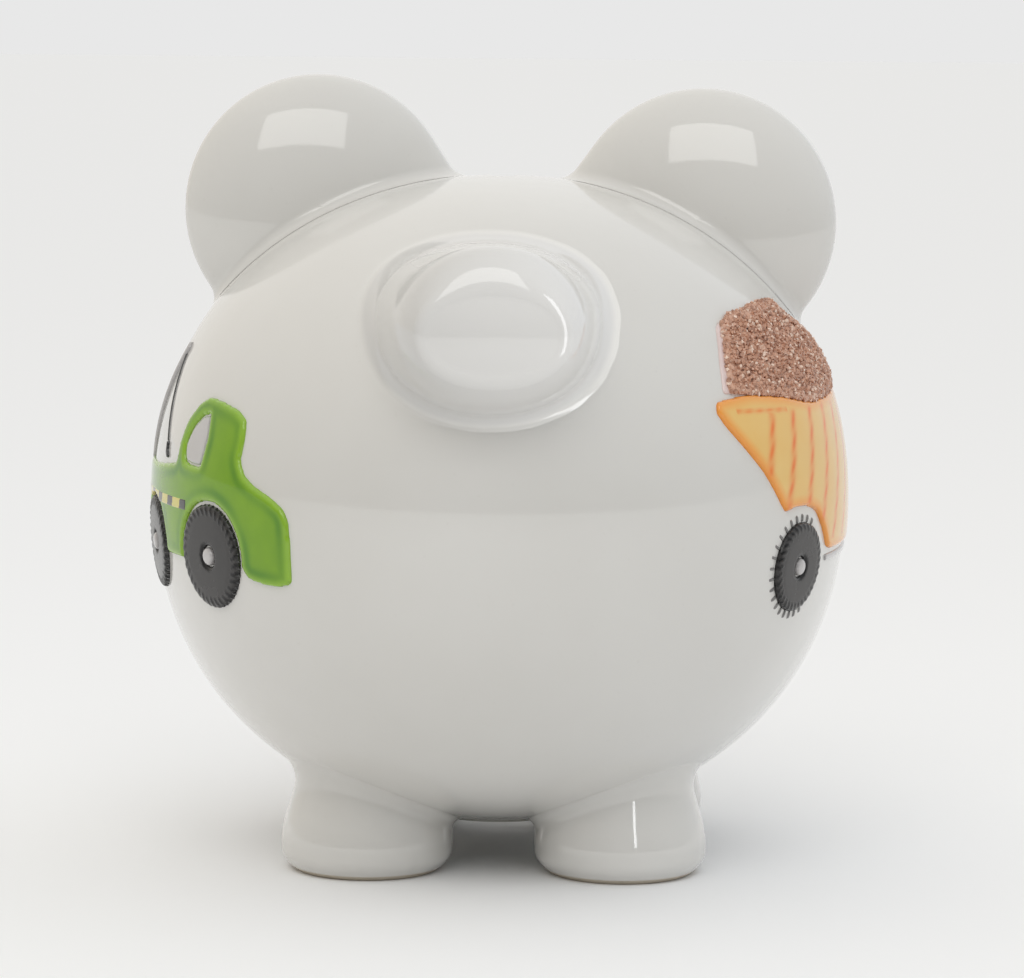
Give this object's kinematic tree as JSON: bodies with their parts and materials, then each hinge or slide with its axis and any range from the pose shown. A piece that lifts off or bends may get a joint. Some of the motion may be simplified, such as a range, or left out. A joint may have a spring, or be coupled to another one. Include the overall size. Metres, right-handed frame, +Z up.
{
  "type": "piggy bank",
  "caption": "Hollow glazed ceramic pig with a coin slot in its crown, four feet, cupped ears, a stub tail, relief trucks on its flanks and a soft belly stopper.",
  "frame": {"origin": "on the floor, under the middle of the whole bank's box", "axes": "+Z up, +Y from the snout to the tail (the pig looks towards -Y), +X towards the pig's left"},
  "size_m": [0.1708, 0.2059, 0.19],
  "materials": {
    "white_glaze": "glossy white glaze",
    "black_glaze": "glossy",
    "tyre_glaze": "glossy dark grey underglaze",
    "grey_glaze": "glossy light grey",
    "green_glaze": "glossy leaf green",
    "yellow_glaze": "glossy yellow and black dashes",
    "orange_glaze": "glossy orange wash",
    "grit": "unglazed coarse brown grit",
    "stopper_rubber": "soft matt translucent grey"
  },
  "bodies": {
    "bank": {"body_shell": "white_glaze", "ear_left": "white_glaze", "ear_right": "white_glaze", "tail": "white_glaze", "snout": "white_glaze", "foot_front_left": "white_glaze", "foot_front_right": "white_glaze", "foot_rear_left": "white_glaze", "foot_rear_right": "white_glaze", "eye_left": "black_glaze", "eye_right": "black_glaze", "crane_body": "green_glaze", "crane_window": "grey_glaze", "crane_stripe": "yellow_glaze", "crane_boom": "grey_glaze", "crane_cable_and_hook": "black_glaze", "crane_rear_tyre": "tyre_glaze", "crane_front_tyre": "tyre_glaze", "crane_rear_hub": "grey_glaze", "crane_front_hub": "grey_glaze", "dump_bed": "orange_glaze", "dump_load": "grit", "dump_cab": "orange_glaze", "dump_window": "grey_glaze", "dump_chassis": "grey_glaze", "dump_rear_tyre": "tyre_glaze", "dump_front_tyre": "tyre_glaze", "dump_rear_hub": "grey_glaze", "dump_front_hub": "grey_glaze"},
    "stopper": {"stopper": "stopper_rubber"}
  },
  "joints": [
    {"name": "stopper_pull", "type": "slide", "parent": "bank", "child": "stopper", "axis": [0, 0, -1], "range_m": [0, 0.03]}
  ]
}
